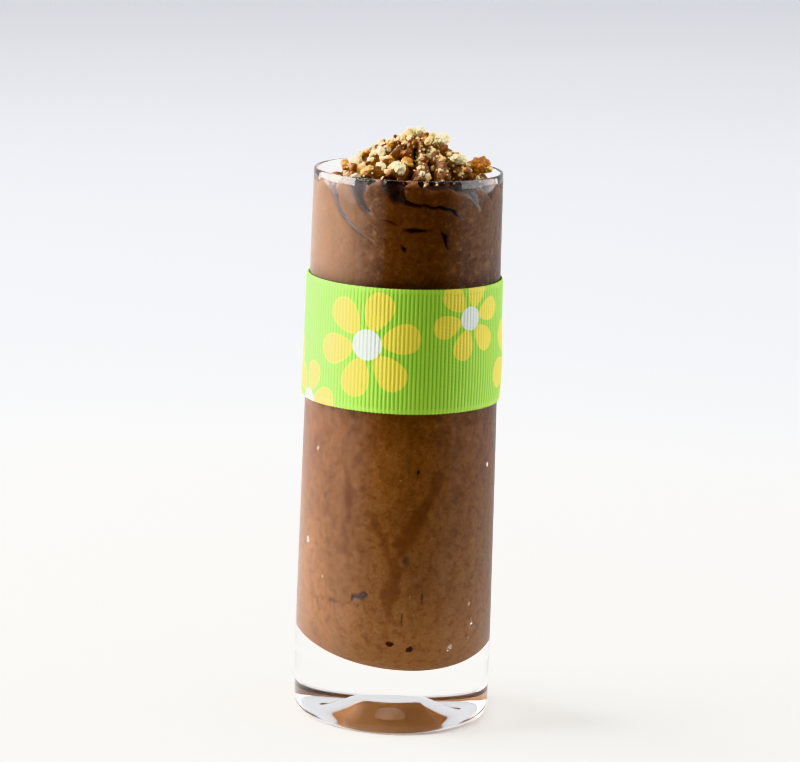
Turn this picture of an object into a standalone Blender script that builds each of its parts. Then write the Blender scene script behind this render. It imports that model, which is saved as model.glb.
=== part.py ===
"""Chocolate mousse served in a tall straight shooter glass, with a ribbon wound flat round the glass.

Metres, +Z up. The glass stands on z = 0 with its middle on the Z axis. Each piece is one closed skin
built from rows of points round that axis: the glass is turned, the mousse fills it and ends in a piped
star-nozzle swirl, and the ribbon is a strip whose two ends lap at the back.
"""

import math

import bmesh
import bpy

# Driving dimensions.
GLASS_HEIGHT = 0.1133
BASE_RADIUS = 0.02025      # outside of the glass, if its wall ran straight on down to the table
RIM_RADIUS = 0.01923       # outside of the glass at the rim
WALL = 0.0017
FOOT_RADIUS = 0.0178       # flat underside that the glass stands on
HEEL_HEIGHT = 0.0030       # rounding between the underside and the wall
FLOOR = 0.0107             # clear glass under the middle of the filling
FLOOR_BOWL = 0.0182        # height over which the inner floor curves up into the wall
FLOOR_SLOPE = 0.125        # fall of the inner floor towards +X, as rise over run
GAP = 0.0003               # clearance between neighbouring solids

SWIRL_DEPTH = 0.0135       # how far below the rim the piped ridges start
SWIRL_EDGE = 0.0028        # how far below the rim the ridges leave the wall
SWIRL_PEAK = 0.0073        # height of the peak above the rim
RIDGES = 16                # ridges round the swirl
GROOVE = 0.0022            # depth of the grooves between the ridges at the edge of the swirl
WALL_LEAN = 0.70           # turn of the ridges up the wall, in radians
CROWN_TURN = 1.00          # turn of the ridges back again from the wall to the peak, in radians
CROWN_SLOPE = 1.3          # exponent of the crown's outline: 1 is a straight cone, 2 a round dome

RIBBON_WIDTH = 0.0250
RIBBON_BOTTOM = 0.0667     # height of the ribbon's lower edge above the table
RIBBON_THICKNESS = 0.00045
RIBBON_LAP = 0.0120        # overlap of the two ends at the back

# How finely the round shapes are divided.
GLASS_SIDES = 64
MOUSSE_SIDES = 6 * RIDGES
RIBBON_STEPS = 76
HEEL_ROWS = 4
LIP_ROWS = 6
FLOOR_ROWS = 9
WALL_ROWS = 7
CROWN_ROWS = 9


def outer_radius(height):
    """Outside of the glass wall, which tapers evenly from the base to the rim."""
    return BASE_RADIUS + (RIM_RADIUS - BASE_RADIUS) * height / GLASS_HEIGHT


def inner_radius(height):
    return outer_radius(height) - WALL


def quarter_turn(count):
    """Angles from 0 to pi / 2 in equal steps."""
    return [math.pi / 2 * step / count for step in range(count + 1)]


def ring(sides, radius, height, slope=0.0, turn=0.0):
    """Points round the axis, falling towards +X by the slope and turned about the axis as a whole.

    radius and height are numbers, or functions of the angle before that turn.
    """
    points = []
    for side in range(sides):
        angle = 2 * math.pi * side / sides
        r = radius(angle) if callable(radius) else radius
        z = height(angle) if callable(height) else height
        x = r * math.cos(angle + turn)
        points.append((x, r * math.sin(angle + turn), z - slope * x))
    return points


def floor_rows(sides, clearance):
    """Rows up the glass's inner floor, a bowl whose section is a quarter ellipse, clearance inside it.

    The bowl falls towards +X, and the fall fades out where the curve reaches the wall.
    """
    reach = inner_radius(FLOOR + FLOOR_BOWL) - clearance
    depth = FLOOR_BOWL - clearance
    return [
        ring(sides, reach * math.sin(angle), FLOOR + FLOOR_BOWL - depth * math.cos(angle),
             slope=FLOOR_SLOPE * math.cos(angle))
        for angle in quarter_turn(FLOOR_ROWS)[1:]
    ]


def closed_skin(name, rows, bottom=None, top=None):
    """Joins rows of points, listed so that they climb the outside, into one closed mesh object.

    An end with a point given is closed by a fan round that point, and any other end by a flat face.
    """
    shape = bmesh.new()
    rings = [[shape.verts.new(point) for point in points] for points in rows]
    sides = len(rings[0])
    for low, high in zip(rings, rings[1:]):
        for side in range(sides):
            after = (side + 1) % sides
            shape.faces.new((low[side], low[after], high[after], high[side]))
    for edge, point in ((rings[0][::-1], bottom), (rings[-1], top)):
        if point is None:
            shape.faces.new(edge)
            continue
        tip = shape.verts.new(point)
        for side in range(sides):
            shape.faces.new((edge[side], edge[(side + 1) % sides], tip))
    return mesh_object(name, shape)


def mesh_object(name, shape):
    mesh = bpy.data.meshes.new(name)
    shape.to_mesh(mesh)
    shape.free()
    mesh.shade_smooth()
    mesh.set_sharp_from_angle(angle=math.radians(40))
    piece = bpy.data.objects.new(name, mesh)
    bpy.context.scene.collection.objects.link(piece)
    return piece


def finish(piece, color, roughness, transmission=0.0):
    """Gives the piece its own Principled material."""
    material = bpy.data.materials.new(piece.name)
    material.use_nodes = True
    shader = material.node_tree.nodes["Principled BSDF"]
    shader.inputs["Base Color"].default_value = (*color, 1.0)
    shader.inputs["Roughness"].default_value = roughness
    shader.inputs["Metallic"].default_value = 0.0
    shader.inputs["Transmission Weight"].default_value = transmission
    piece.data.materials.append(material)


def make_glass():
    """Turned glass: flat underside, rounded heel, tapering wall, rounded lip and thick bowled floor."""
    heel = BASE_RADIUS - FOOT_RADIUS
    rows = [
        ring(GLASS_SIDES, FOOT_RADIUS + heel * math.sin(angle), HEEL_HEIGHT * (1 - math.cos(angle)))
        for angle in quarter_turn(HEEL_ROWS)
    ]
    lip = WALL / 2
    lip_height = GLASS_HEIGHT - lip
    lip_radius = outer_radius(lip_height) - lip
    for step in range(LIP_ROWS + 1):
        angle = math.pi * step / LIP_ROWS
        rows.append(ring(GLASS_SIDES, lip_radius + lip * math.cos(angle),
                         lip_height + lip * math.sin(angle)))
    rows.extend(reversed(floor_rows(GLASS_SIDES, 0.0)))
    glass = closed_skin("glass", rows, top=(0.0, 0.0, FLOOR))
    finish(glass, (0.95, 0.97, 0.97), 0.02, transmission=1.0)


def valley(angle):
    """Star-nozzle section: 0 on the round back of a ridge, rising to 1 in the sharp groove beside it."""
    return 1 - math.sqrt(abs(math.sin(RIDGES * angle / 2)))


def wall_row(climb):
    """Row of the filling against the glass. climb runs from 0 where the ridges start to 1 at the top."""
    height = GLASS_HEIGHT - SWIRL_DEPTH + (SWIRL_DEPTH - SWIRL_EDGE) * climb
    outside = inner_radius(height) - GAP
    groove = GROOVE * climb ** 1.5
    turn = WALL_LEAN * ((1 - climb) ** 1.6 - 1)
    return ring(MOUSSE_SIDES, lambda angle: outside - groove * valley(angle), height, turn=turn)


def crown_row(reach):
    """Row of the swirl's top at this share of its radius: ridges wind up to the peak and fade out."""
    edge_height = GLASS_HEIGHT - SWIRL_EDGE
    edge_radius = inner_radius(edge_height) - GAP
    crest = edge_height + (SWIRL_PEAK + SWIRL_EDGE) * (1 - reach ** CROWN_SLOPE)
    groove = GROOVE * math.sqrt(reach)
    turn = CROWN_TURN * (1 - reach) - WALL_LEAN

    def radius(angle):
        return reach * (edge_radius - groove * valley(angle))

    def height(angle):
        return crest - groove * (1 - reach) * valley(angle)

    return ring(MOUSSE_SIDES, radius, height, turn=turn)


def make_mousse():
    """Filling and swirl in one piece, clear of the glass by the gap."""
    rows = floor_rows(MOUSSE_SIDES, GAP)
    rows.extend(wall_row(step / WALL_ROWS) for step in range(WALL_ROWS + 1))
    rows.extend(crown_row(1 - step / CROWN_ROWS) for step in range(1, CROWN_ROWS))
    peak = (0.0, 0.0, GLASS_HEIGHT + SWIRL_PEAK)
    mousse = closed_skin("mousse", rows, bottom=(0.0, 0.0, FLOOR + GAP), top=peak)
    finish(mousse, (0.17, 0.065, 0.030), 0.55)


def make_ribbon():
    """Strip wound once round the glass. Its outer end climbs over the inner one where they lap."""
    inside = outer_radius(RIBBON_BOTTOM) + GAP
    lap = RIBBON_LAP / inside
    turn = 2 * math.pi + lap
    start = (math.pi - lap) / 2
    top = RIBBON_BOTTOM + RIBBON_WIDTH
    shape = bmesh.new()
    sections = []
    for step in range(RIBBON_STEPS + 1):
        wound = turn * step / RIBBON_STEPS
        climb = min(1.0, max(0.0, (wound - turn + 2 * lap) / lap))
        near = inside + (RIBBON_THICKNESS + GAP) * climb * climb * (3 - 2 * climb)
        far = near + RIBBON_THICKNESS
        across, along = math.cos(start + wound), math.sin(start + wound)
        corners = ((near, RIBBON_BOTTOM), (far, RIBBON_BOTTOM), (far, top), (near, top))
        sections.append([shape.verts.new((r * across, r * along, z)) for r, z in corners])
    for here, beyond in zip(sections, sections[1:]):
        for corner in range(4):
            after = (corner + 1) % 4
            shape.faces.new((here[corner], beyond[corner], beyond[after], here[after]))
    shape.faces.new(sections[0])
    shape.faces.new(sections[-1][::-1])
    bmesh.ops.recalc_face_normals(shape, faces=shape.faces)
    ribbon = mesh_object("ribbon", shape)
    finish(ribbon, (0.20, 0.52, 0.06), 0.6)


def main():
    for piece in list(bpy.data.objects):
        bpy.data.objects.remove(piece, do_unlink=True)
    make_glass()
    make_mousse()
    make_ribbon()


main()
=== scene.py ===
"""Looks for a chocolate mousse in a tall shooter glass: clear glass, mousse with a piped swirl, biscuit
crumbs and a daisy-print grosgrain ribbon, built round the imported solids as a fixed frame.

Laid out as an add-on: sizes and colours are properties, and each group of pieces has its own operator.
Lengths are in metres, except where a name ends in _mm.
"""

import math

import bmesh
import bpy
import numpy as np
from bpy.props import FloatProperty, FloatVectorProperty, PointerProperty
from mathutils import Matrix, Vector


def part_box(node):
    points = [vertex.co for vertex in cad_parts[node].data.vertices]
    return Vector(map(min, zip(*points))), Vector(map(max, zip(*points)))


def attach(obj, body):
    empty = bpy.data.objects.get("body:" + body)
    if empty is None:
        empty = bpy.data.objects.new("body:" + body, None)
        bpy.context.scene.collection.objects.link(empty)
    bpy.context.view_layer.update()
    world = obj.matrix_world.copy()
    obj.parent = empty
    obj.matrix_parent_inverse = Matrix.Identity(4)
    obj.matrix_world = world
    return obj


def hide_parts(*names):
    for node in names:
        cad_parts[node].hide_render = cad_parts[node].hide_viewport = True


bl_info = {
    "name": "Chocolate Mousse in a Shooter Glass",
    "version": (1, 0, 0),
    "blender": (4, 5, 0),
    "location": "3D View > Sidebar > Mousse",
    "description": "Builds a glass of chocolate mousse with crumbs and a ribbon",
    "category": "Add Mesh",
}

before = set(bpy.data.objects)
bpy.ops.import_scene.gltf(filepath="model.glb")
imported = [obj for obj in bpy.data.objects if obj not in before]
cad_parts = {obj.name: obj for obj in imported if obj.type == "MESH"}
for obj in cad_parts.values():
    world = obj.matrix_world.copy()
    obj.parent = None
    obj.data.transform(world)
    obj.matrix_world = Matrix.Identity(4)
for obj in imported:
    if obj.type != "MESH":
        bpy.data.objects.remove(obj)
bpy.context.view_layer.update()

MM = 0.001
TURN = 2 * math.pi

# Sizes read from the frame.
GLASS_LOW, GLASS_HIGH = (np.array(corner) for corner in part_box("glass"))
RIBBON_LOW, RIBBON_HIGH = (np.array(corner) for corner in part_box("ribbon"))
BASE_RADIUS = (GLASS_HIGH[0] - GLASS_LOW[0]) / 2
RIM = GLASS_HIGH[2]
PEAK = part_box("mousse")[1][2]
RIBBON_FOOT = RIBBON_LOW[2]
RIBBON_WIDTH = RIBBON_HIGH[2] - RIBBON_LOW[2]

# Sizes of the turned glass and of the bowl inside it.
RIM_RADIUS = 0.95 * BASE_RADIUS
WALL_FOOT_RADIUS = 1.014 * BASE_RADIUS
FOOT_TUCK = 0.25 * MM
WALL = 1.7 * MM
THINNING = 0.95 * MM
FOOT_RADIUS = 0.93 * BASE_RADIUS
HEEL = 3.0 * MM
KICK = 3.8 * MM
KICK_RADIUS = 10.0 * MM
KICK_TOP = 5.0 * MM
KICK_ROUND = 0.08   # share of the cone's slope that its rounded edges take
FLOOR = 10.7 * MM
BOWL = 18.2 * MM
BOWL_SLOPE = 0.10
FULLNESS = 0.80   # 1 makes the bowl's section a quarter ellipse, and less makes its corner squarer


def smooth_step(low, high, value):
    """Eases from 0 at low to 1 at high: 3 t squared minus 2 t cubed."""
    t = np.clip((value - low) / (high - low), 0.0, 1.0)
    return t * t * (3 - 2 * t)


def cloud(points, size, seed):
    """Smooth noise from about -1 to 1: random values on a lattice with this spacing, eased between."""
    table = np.random.default_rng(seed).uniform(-1, 1, (32, 32, 32))
    at = np.asarray(points) / size
    cell = np.floor(at).astype(int)
    t = at - cell
    t = t * t * (3 - 2 * t)
    total = 0.0
    for corner in np.ndindex(2, 2, 2):
        i, j, k = ((cell + corner) % 32).reshape(-1, 3).T
        weight = np.prod(np.where(corner, t, 1 - t), axis=-1)
        total = total + table[i, j, k].reshape(weight.shape) * weight
    return total


def outer_radius(height):
    """Outside of the glass wall, which tapers evenly from base to rim and draws in a little at the foot."""
    foot = FOOT_TUCK * (1 - smooth_step(0, 22 * MM, height))
    return WALL_FOOT_RADIUS - foot + (RIM_RADIUS - WALL_FOOT_RADIUS) * height / RIM


def wall(height):
    """Thickness of the glass wall, which thins towards the rim."""
    return WALL - THINNING * smooth_step(RIM - 7 * MM, RIM - 1 * MM, height)


def inner_radius(height):
    return outer_radius(height) - wall(height)


def grid_faces(rows, columns, wrap=True):
    """Quads joining a grid of points row by row, and the last column to the first if it wraps."""
    across = np.arange(columns if wrap else columns - 1)
    after = (across + 1) % columns
    start = np.arange(rows - 1)[:, None] * columns
    quads = np.stack([start + across, start + after, start + columns + after, start + columns + across], -1)
    return quads.reshape(-1, 4)


def mesh_piece(name, points, quads, triangles=None, uv=None, tone=None):
    """Puts arrays of points and faces into a mesh, smooth shaded.

    uv gives two numbers a point, for a pattern that follows the piece, and tone one number a point.
    """
    points = np.asarray(points, np.float32).reshape(-1, 3)
    faces = [np.asarray(quads, np.int32).reshape(-1, 4)]
    sizes = [4]
    if triangles is not None:
        faces.append(np.asarray(triangles, np.int32).reshape(-1, 3))
        sizes.append(3)
    corners = np.concatenate([face.ravel() for face in faces])
    totals = np.concatenate([np.full(len(face), size) for face, size in zip(faces, sizes)])
    mesh = bpy.data.meshes.new(name)
    mesh.vertices.add(len(points))
    mesh.vertices.foreach_set("co", points.ravel())
    mesh.loops.add(len(corners))
    mesh.loops.foreach_set("vertex_index", corners.astype(np.int32))
    mesh.polygons.add(len(totals))
    mesh.polygons.foreach_set("loop_start", (np.cumsum(totals) - totals).astype(np.int32))
    if uv is not None:
        layer = mesh.uv_layers.new(name="cloth")
        layer.data.foreach_set("uv", np.asarray(uv, np.float32).reshape(-1, 2)[corners].ravel())
    if tone is not None:
        kept = mesh.attributes.new("tone", "FLOAT", "POINT")
        kept.data.foreach_set("value", np.asarray(tone, np.float32).ravel())
    mesh.update(calc_edges=True)
    mesh.validate()
    mesh.shade_smooth()
    piece = bpy.data.objects.new(name, mesh)
    bpy.context.scene.collection.objects.link(piece)
    return piece


def turned_piece(name, grid, bottom, top, tone=None):
    """Closes rows of points round the axis into one skin, with a fan round the point at each end."""
    rows, columns = grid.shape[:2]
    points = [grid.reshape(-1, 3)]
    fans = []
    side = np.arange(columns)
    after = (side + 1) % columns
    last = (rows - 1) * columns
    tip = rows * columns
    for end, first, second in ((bottom, after, side), (top, last + side, last + after)):
        points.append(np.reshape(end, (1, 3)))
        fans.append(np.stack([first, second, np.full(columns, tip)], -1))
        tip += 1
    if tone is not None:
        tone = np.concatenate([tone.ravel(), tone[0, :1], tone[-1, :1]])
    return mesh_piece(name, np.concatenate(points), grid_faces(rows, columns), np.concatenate(fans),
                      tone=tone)


def round_grid(radius, height, angle):
    """Points from radius, height and angle, which broadcast to one grid."""
    radius, height, angle = np.broadcast_arrays(radius, height, angle)
    return np.stack([radius * np.cos(angle), radius * np.sin(angle), height], -1)


# Shader maths.


def one_node(operation):
    """Method of a value that adds one Math node with this operation."""
    return lambda value, *others: value.maths(operation, *others)


class Value:
    """A socket's number in a material. An expression on values adds the Math nodes that work it out."""

    def __init__(self, material, socket):
        self.material = material
        self.socket = socket

    def maths(self, operation, *others):
        return self.material.node(
            "ShaderNodeMath", {"operation": operation}, dict(enumerate((self, *others)))
        )

    def __rsub__(self, other):
        return self.maths("MULTIPLY", -1.0) + other

    __add__ = __radd__ = one_node("ADD")
    __sub__ = one_node("SUBTRACT")
    __mul__ = __rmul__ = one_node("MULTIPLY")
    __truediv__ = one_node("DIVIDE")
    root = one_node("SQRT")
    size = one_node("ABSOLUTE")
    least = one_node("MINIMUM")
    most = one_node("MAXIMUM")
    sine = one_node("SINE")
    cosine = one_node("COSINE")

    def wrapped(self, span):
        """Moved by whole spans into the range from minus half a span to half a span."""
        return self.maths("WRAP", span / 2, -span / 2)

    def eased(self, low, high):
        """0 up to low, 1 from high, and smooth between."""
        return self.material.node(
            "ShaderNodeMapRange", {"interpolation_type": "SMOOTHSTEP"},
            {"Value": self, "From Min": low, "From Max": high},
        )


class Finish:
    """A node material under one Principled shader."""

    def __init__(self, name, **constants):
        self.material = bpy.data.materials.new(name)
        self.material.use_nodes = True
        self.tree = self.material.node_tree
        self.shader = self.tree.nodes["Principled BSDF"]
        for socket, value in constants.items():
            self.shader.inputs[socket.replace("_", " ")].default_value = value

    def node(self, kind, settings=None, inputs=None, output=0):
        """Adds a node with these settings and inputs, and gives the value of one of its outputs."""
        made = self.tree.nodes.new(kind)
        for name, value in (settings or {}).items():
            setattr(made, name, value)
        for name, value in (inputs or {}).items():
            self.feed(made.inputs[name], value)
        return Value(self, made.outputs[output])

    def feed(self, socket, value):
        if isinstance(value, Value):
            self.tree.links.new(value.socket, socket)
        else:
            socket.default_value = value

    def drive(self, socket, value):
        """Links a value that changes over the surface to a socket of the Principled shader."""
        self.feed(self.shader.inputs[socket], value)

    def place(self):
        """Object coordinates, in metres."""
        return self.node("ShaderNodeTexCoord", output="Object")

    def tone(self, output="Fac"):
        """The tone that the piece's points carry."""
        return self.node("ShaderNodeAttribute", {"attribute_name": "tone"}, output=output)

    def parts(self, vector):
        """The three numbers of a vector."""
        split = self.node("ShaderNodeSeparateXYZ", {}, {0: vector}).socket.node
        return [Value(self, socket) for socket in split.outputs]

    def mapped(self, vector, scale=(1, 1, 1), turn=(0, 0, 0)):
        return self.node("ShaderNodeMapping", {}, {"Vector": vector, "Scale": scale, "Rotation": turn})

    def noise(self, vector, size, detail=3.0, roughness=0.5, distortion=0.0):
        """Cloudy noise from 0 to 1 with lumps about this size, in metres."""
        return self.node(
            "ShaderNodeTexNoise", {},
            {"Vector": vector, "Scale": 1 / size, "Detail": detail, "Roughness": roughness,
             "Distortion": distortion},
        )

    def colour(self, rgb):
        return (*rgb, 1.0)

    def mix(self, share, first, second):
        """The first colour where share is 0, the second where it is 1."""
        made = self.tree.nodes.new("ShaderNodeMix")
        made.data_type = "RGBA"
        self.feed(made.inputs[0], share)
        for socket, value in ((made.inputs[6], first), (made.inputs[7], second)):
            self.feed(socket, value if isinstance(value, Value) else self.colour(value))
        return Value(self, made.outputs[2])

    def bump(self, height, depth):
        """Relief from a height of 0 to 1 that stands for this depth in metres."""
        inputs = {"Height": height, "Distance": depth, "Strength": 1.0}
        self.drive("Normal", self.node("ShaderNodeBump", {}, inputs))


def give(piece, finish, slot, *nodes):
    """Puts the finish on a piece, lets it ride on the glass's body and hides the solids it stands for."""
    piece.data.materials.append(finish.material)
    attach(piece, "root")
    if nodes:
        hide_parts(*nodes)


# Glass.


def glass_profile():
    """Radius and height down the turned outline: underside, heel, wall, lip, inner wall, inner bowl.

    The underside rises in the middle as a cone cut off flat at the top, with edges rounded by the log of 1
    plus an exponential. The heel is a quarter ellipse, the lip a half circle and the bowl a quarter
    ellipse with a fuller corner.
    """
    under = np.linspace(0.03, 0.97, 64)
    radius = [FOOT_RADIUS * under]
    slope = (KICK_RADIUS - radius[0]) / (KICK_RADIUS - KICK_TOP)
    rounded = np.logaddexp(0, slope / KICK_ROUND) - np.logaddexp(0, (slope - 1) / KICK_ROUND)
    height = [KICK * KICK_ROUND * rounded]
    bend = np.linspace(0, math.pi / 2, 14)
    heel = outer_radius(HEEL) - FOOT_RADIUS
    radius.append(FOOT_RADIUS + heel * np.sin(bend))
    height.append(HEEL * (1 - np.cos(bend)))
    lip = wall(RIM) / 2
    climb = np.concatenate([np.linspace(HEEL, 24 * MM, 40), np.linspace(24 * MM, RIM - lip, 60)[1:]])[1:]
    radius.append(outer_radius(climb))
    height.append(climb)
    bend = np.linspace(0, math.pi, 15)[1:]
    radius.append(outer_radius(RIM - lip) - lip + lip * np.cos(bend))
    height.append(RIM - lip + lip * np.sin(bend))
    fall = np.linspace(RIM - lip, FLOOR + BOWL, 60)[1:-1]
    radius.append(inner_radius(fall))
    height.append(fall)
    bend = np.linspace(math.pi / 2, 0.04, 40)
    radius.append(inner_radius(FLOOR + BOWL) * np.sin(bend) ** FULLNESS)
    height.append(FLOOR + BOWL * (1 - np.cos(bend) ** FULLNESS))
    return np.concatenate(radius), np.concatenate(height)


def bowl_fall(x, height):
    """How much lower the glass's inner floor lies at x: it slopes towards +X, fading out up the bowl."""
    up = np.clip((height - FLOOR) / BOWL, 0, 1)
    return BOWL_SLOPE * x * (1 - up)


def build_glass():
    """Turns the outline round the axis, with the slight waves of pressed glass in its outer wall."""
    radius, height = glass_profile()
    angle = np.linspace(0, TURN, 256, endpoint=False)
    grid = round_grid(radius[:, None], height[:, None], angle)
    inside = (np.arange(len(radius)) > np.argmax(height))[:, None]
    ripple = 0.02 * MM * cloud(grid * (1, 1, 0.35), 9 * MM, 11)
    ripple = ripple * smooth_step(22 * MM, 40 * MM, height)[:, None] * ~inside
    ripple = ripple * (1 - smooth_step(RIM - 9 * MM, RIM - 3 * MM, height))[:, None]
    grid[..., :2] *= (1 + ripple / np.maximum(radius[:, None], MM))[..., None]
    grid[..., 2] -= bowl_fall(grid[..., 0], height[:, None]) * inside
    glass = turned_piece("clear_glass", grid, (0, 0, KICK), (0, 0, FLOOR))
    finish = Finish("clear polished glass", Transmission_Weight=1.0, IOR=1.46, Roughness=0.0)
    finish.drive("Base Color", finish.colour((1.0, 1.0, 1.0)))
    smear = finish.noise(finish.place(), 14 * MM, detail=4)
    finish.drive("Roughness", smear.eased(0.55, 0.9) * 0.03)
    give(glass, finish, "glass", "glass")


# Mousse.


RIDGES = 16
FIRST_GROOVE = math.radians(-9)
INTO_WALL = 0.12 * MM
MOUSSE_COLUMNS = 480
MID_RADIUS_MM = 18.2   # turns a bearing at the wall into a length along it
SWIRL_FOOT = RIM - 24.6 * MM
FILLING_TOP = SWIRL_FOOT - 0.2 * MM
NOISE_RADIUS = 0.018   # where the noise that bends streaks and slits is read
LEFT_SINK = 1.1 * MM
PEAK_LEAN = 0.8 * MM
BACK_DROP = 1.5 * MM
SHOULDER = 1.3 * MM
CROWN_SPREAD = 0.90

# Slits of air between the piped ridges and the glass. Each runs through points given as the bearing in
# degrees to the right of the front, the depth below the rim and the half width there, both in mm.
AIR_SLITS = (
    ((-86, -0.6, 1.2), (-80, 1.5, 0.5), (-74, 3.2, 0.15)),
    ((-57, -0.6, 2.3), (-54, 2.6, 1.1), (-49, 6.0, 0.5), (-42, 8.6, 0.4), (-31, 10.8, 0.3),
     (-20, 13.2, 0.12)),
    ((-33, -0.6, 2.3), (-33, 1.6, 1.6), (-31, 4.2, 0.9), (-27, 6.4, 0.5), (-23, 7.4, 0.15)),
    ((-10, -0.6, 2.7), (-8, 1.5, 2.2), (-6, 3.4, 1.4), (-1, 4.4, 0.5), (9, 5.1, 0.3), (21, 5.5, 0.4),
     (31, 6.4, 0.5), (38, 8.0, 0.15)),
    ((-17, 8.0, 0.1), (-10, 8.6, 0.3), (-6, 8.9, 0.12)),
    ((-2, 9.7, 0.12), (4, 10.0, 0.45), (11, 9.9, 0.35), (16, 10.1, 0.12)),
    ((20, 10.2, 0.1), (25, 11.4, 0.6), (28, 13.6, 0.2)),
    ((5, -0.4, 1.0), (14, 0.9, 1.1), (26, 1.2, 1.0), (38, 1.9, 0.9), (46, 3.6, 0.7), (52, 6.6, 0.15)),
    ((32, -0.6, 1.5), (44, 0.2, 1.3), (55, 1.6, 0.9), (61, 3.6, 0.4), (64, 5.0, 0.12)),
    ((-3, 12.9, 0.15), (-1, 13.6, 0.4), (0, 14.3, 0.15)),
)
SLIT_FRONT = 95

# Hollows in the filling against the glass: bearing in degrees, then height, half width and half height
# in mm, lean in degrees, and the tone painted in the spot, from -1, black painted shade, to 1, a white
# painted glint.
HOLLOWS = (
    (-22, 28.1, 2.0, 0.55, 19, -0.9), (-19, 28.6, 1.0, 0.7, 8, -0.8), (-1.8, 18.5, 0.9, 0.55, 4, -1.0),
    (11.6, 17.5, 0.85, 0.6, 20, -1.0), (12.5, 54.4, 0.3, 0.5, -15, -0.9), (6.8, 36.4, 0.7, 1.1, 0, -0.2),
    (5.4, 23.8, 0.16, 1.8, 4, -0.7), (17.4, 28.0, 0.13, 1.6, 3, -0.6), (-43, 26.0, 3.4, 0.12, 7, -0.5),
    (56.7, 22.0, 0.45, 0.75, 6, 1.0), (41.8, 17.6, 0.6, 0.6, 20, 1.0), (53.0, 26.2, 0.28, 0.4, 0, 1.0),
    (57.2, 18.8, 0.25, 0.35, 0, 1.0), (-59.1, 57.1, 0.3, 0.6, -35, 0.5), (-49.1, 47.8, 0.3, 0.5, 0, -0.6),
    (-47.0, 53.8, 0.4, 0.25, 10, -0.4), (-67.4, 37.3, 0.5, 0.7, 10, 0.4), (-50.0, 30.8, 0.28, 0.28, 0, 0.7),
    (69.5, 54.1, 0.3, 0.5, 0, 0.8),
)


def mousse_finish(name, colours, wet, grain_depth, grit, dusk=0.0):
    """Aerated chocolate: cloudy browns in leaning streaks, fine foam and dark specks, and a soft grain.

    Grit is the share of the relief that its pits have, and dusk darkens it all. Below 0 the piece's tone
    makes a spot darker, for streaks and for painted shade, and then black as painted shade; above 0 it
    makes it lighter as painted light, and then white as a painted glint. Lower down the mousse is a little
    lighter and more even: painted light from the floor's bounce.
    """
    finish = Finish(name, Specular_IOR_Level=wet)
    place = finish.place()
    _, _, height = finish.parts(place)
    leaning = finish.mapped(place, scale=(1.0, 1.0, 0.6), turn=(0.25, 0.35, 0))
    clouds = finish.noise(leaning, 9 * MM, detail=6, roughness=0.6, distortion=0.9)
    streaks = finish.noise(finish.mapped(place, scale=(1.0, 1.0, 0.4), turn=(0.35, 0.5, 0)), 3.2 * MM,
                           detail=5, roughness=0.6, distortion=1.8)
    foam = finish.noise(place, 0.55 * MM, detail=4, roughness=0.8, distortion=0.4)
    blots = finish.noise(place, 1.5 * MM, detail=4, roughness=0.7, distortion=0.5)
    flecks = finish.noise(place, 0.8 * MM, detail=1)
    painted_bounce_light = height.eased(75 * MM, 18 * MM)
    fresh = height.eased(60 * MM, 92 * MM)
    shade = clouds.eased(0.32, 0.66) * 0.6 + streaks.eased(0.34, 0.64) * 0.4
    colour = finish.mix(shade, colours.mousse_dark, colours.mousse)
    tone = finish.tone()
    for share, tint in (
        # Painted light: lighter low down, from the floor's bounce.
        (painted_bounce_light * 0.45, colours.pale_foam_and_painted_light),
        (blots.eased(0.50, 0.36) * (fresh * 0.30 + 0.48), colours.mousse_dark),
        (blots.eased(0.54, 0.68) * (fresh * 0.40 + 0.34), colours.pale_foam_and_painted_light),
        (foam.eased(0.55, 0.68) * (fresh * 0.30 + 0.50), colours.pale_foam_and_painted_light),
        (flecks.eased(0.75, 0.80) * 0.5, colours.pale_foam_and_painted_light),
        (foam.eased(0.45, 0.32) * 0.65, colours.mousse_dark),
        # Tone above 0: painted light, then white painted glints; below 0: streaks and painted shade, then
        # black painted shade.
        (tone.eased(0.0, 0.5), colours.pale_foam_and_painted_light),
        (tone.eased(0.3, 1.0), colours.cream),
        (tone.eased(0.0, -0.6), colours.deep_streaks_and_painted_shade),
        (tone.eased(-0.5, -1.0) * (1 - dusk) + dusk, colours.pit),
    ):
        colour = finish.mix(share, colour, tint)
    finish.drive("Base Color", colour)
    finish.drive("Roughness", 0.45 + foam * 0.2)
    finish.bump(blots + foam.eased(0.42, 0.30) * grit, grain_depth)
    return finish


# Darker streaks in the filling against the glass: bearing in degrees, height and half width in mm.
STREAKS = (
    ((26, 53.5, 1.7), (16, 47.0, 2.2), (8, 42.0, 2.7), (1, 37.5, 1.7)),
    ((-21, 47.5, 0.8), (-12, 43.5, 1.4), (-7, 39.5, 1.5), (-2, 36.0, 1.2)),
    ((-2, 36.0, 1.9), (-1, 31.0, 2.4), (-3, 26.0, 1.5), (-4, 19.0, 0.5)),
    ((26, 35.0, 0.7), (17, 32.4, 0.8), (10, 29.5, 0.8), (9, 22.5, 0.5)),
    ((-74, 27.0, 0.7), (-56, 25.6, 0.8), (-38, 27.0, 0.7)),
    ((-36, 56.0, 1.0), (-30, 48.0, 1.5), (-34, 41.0, 1.2), (-28, 34.0, 0.7)),
    ((44, 33.0, 0.8), (35, 31.0, 1.0), (28, 26.0, 0.8), (31, 19.0, 0.5)),
    ((100, 60.0, 1.4), (112, 48.0, 2.2), (108, 36.0, 1.0)),
    ((-104, 58.0, 1.0), (-118, 44.0, 2.0), (-112, 30.0, 1.0)),
    ((168, 62.0, 1.5), (186, 50.0, 2.4), (176, 34.0, 1.5), (182, 22.0, 0.7)),
    ((140, 40.0, 0.8), (152, 32.0, 1.5), (146, 20.0, 0.7)),
    ((-150, 36.0, 0.8), (-140, 28.0, 1.4), (-146, 18.0, 0.7)),
)


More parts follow.
